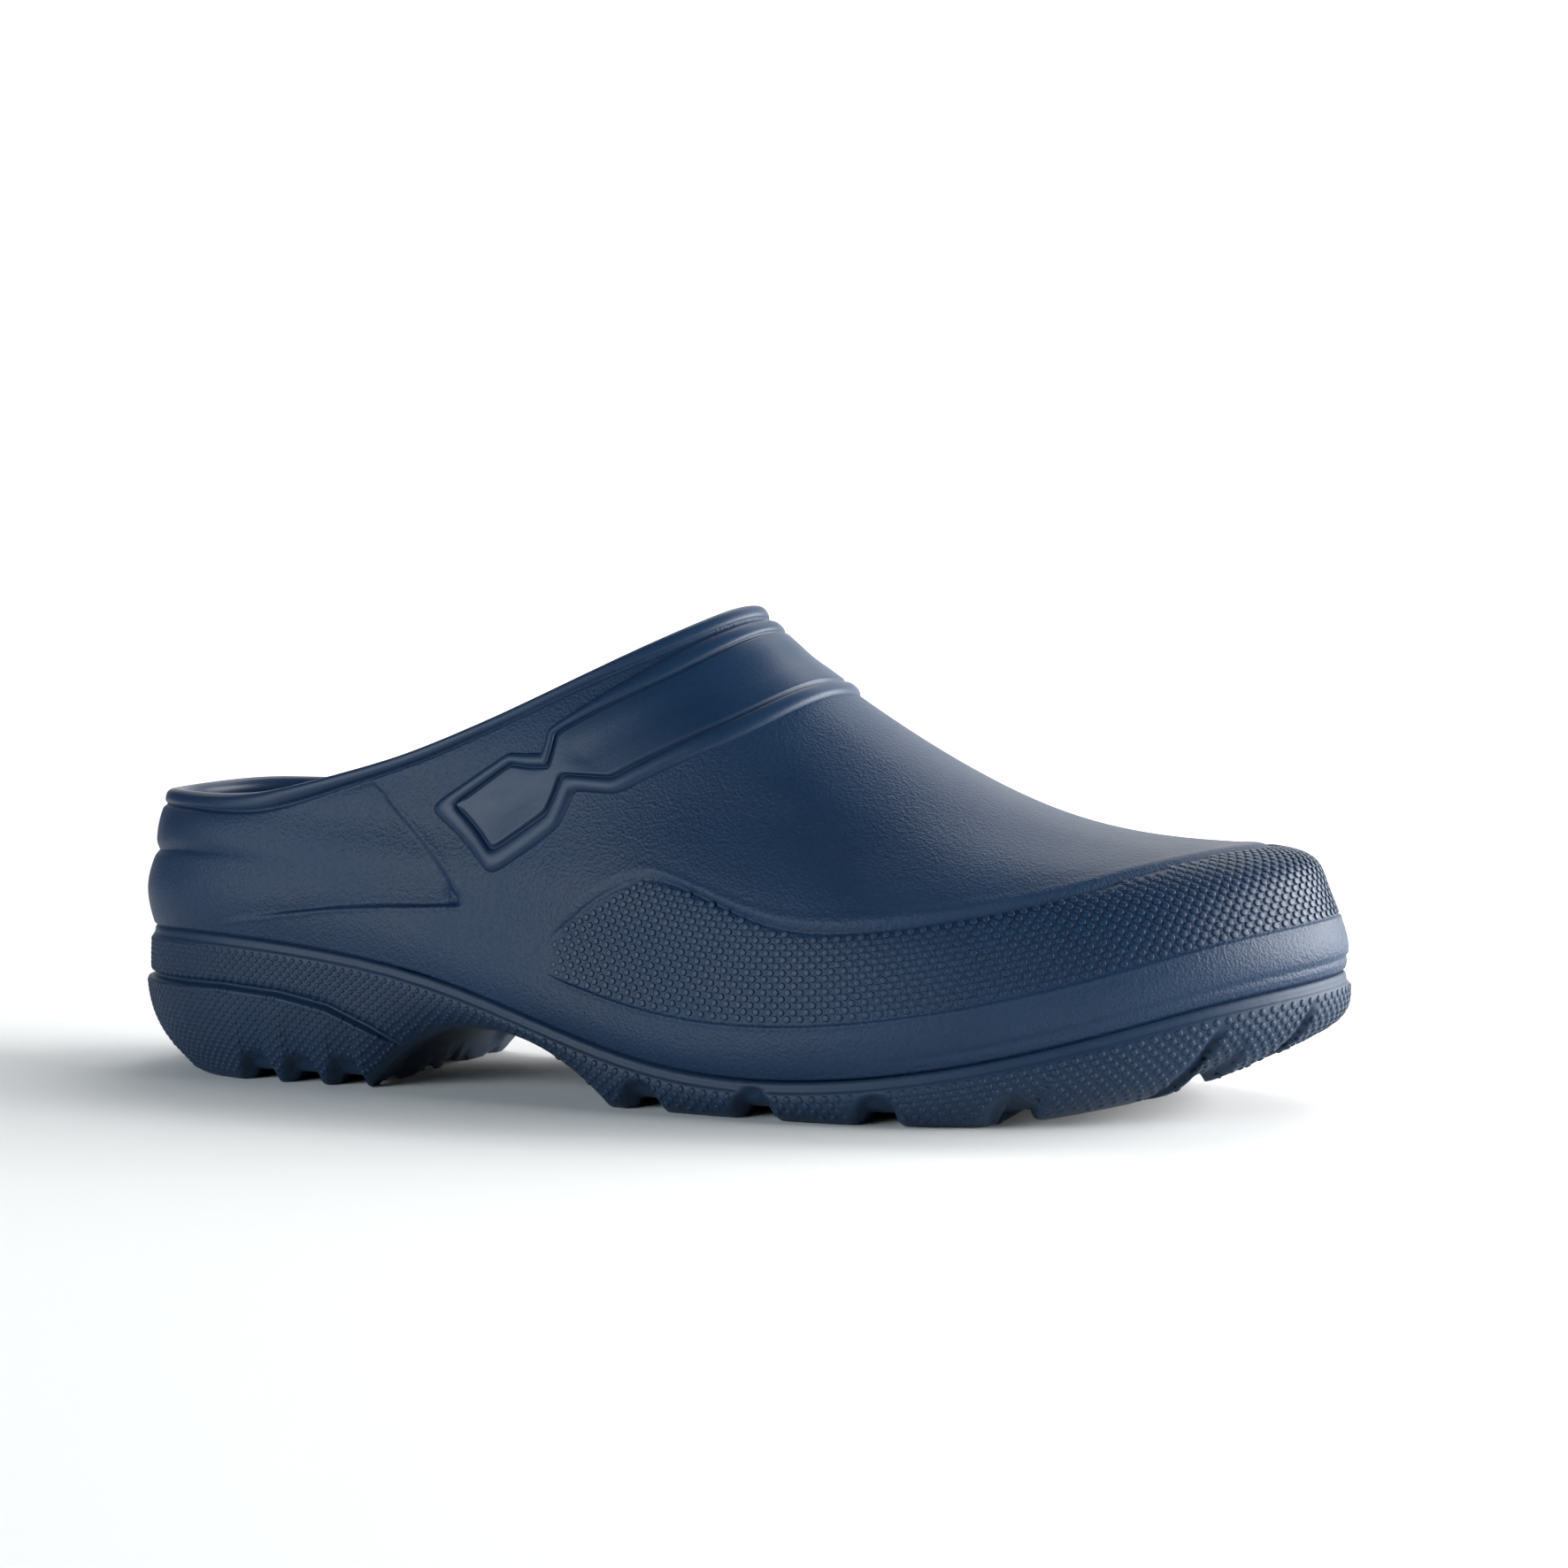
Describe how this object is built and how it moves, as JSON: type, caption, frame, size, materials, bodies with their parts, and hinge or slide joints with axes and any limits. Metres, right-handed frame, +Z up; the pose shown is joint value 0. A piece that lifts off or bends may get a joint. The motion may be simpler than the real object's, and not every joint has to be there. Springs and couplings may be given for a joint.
{
  "type": "garden clog",
  "caption": "Moulded slip-on garden clog with a closed toe, raised instep with strap relief, low heel counter, treaded sole and a lift-out insole.",
  "frame": {"origin": "on the ground, under the middle of the clog's length and width", "axes": "+X towards the toe, +Y towards the inner side of the foot, +Z up"},
  "size_m": [0.2914, 0.1104, 0.1103],
  "materials": {
    "moulded_upper": "navy, satin with a fine moulded grain",
    "moulded_outsole": "navy, matt with moulded texture",
    "insole_foam": "dark foam, matt",
    "insole_cloth": "woven cloth, matt"
  },
  "bodies": {
    "shoe": {"upper": "moulded_upper", "outsole": "moulded_outsole"},
    "insole_pad": {"insole": "insole_foam", "insole_cover": "insole_cloth"}
  },
  "joints": [
    {"name": "insole_lift", "type": "hinge", "parent": "shoe", "child": "insole_pad", "pos_m": [0.1365, 0.0067, 0.0219], "axis": [0, 1, 0], "range_deg": [0, 10]}
  ]
}
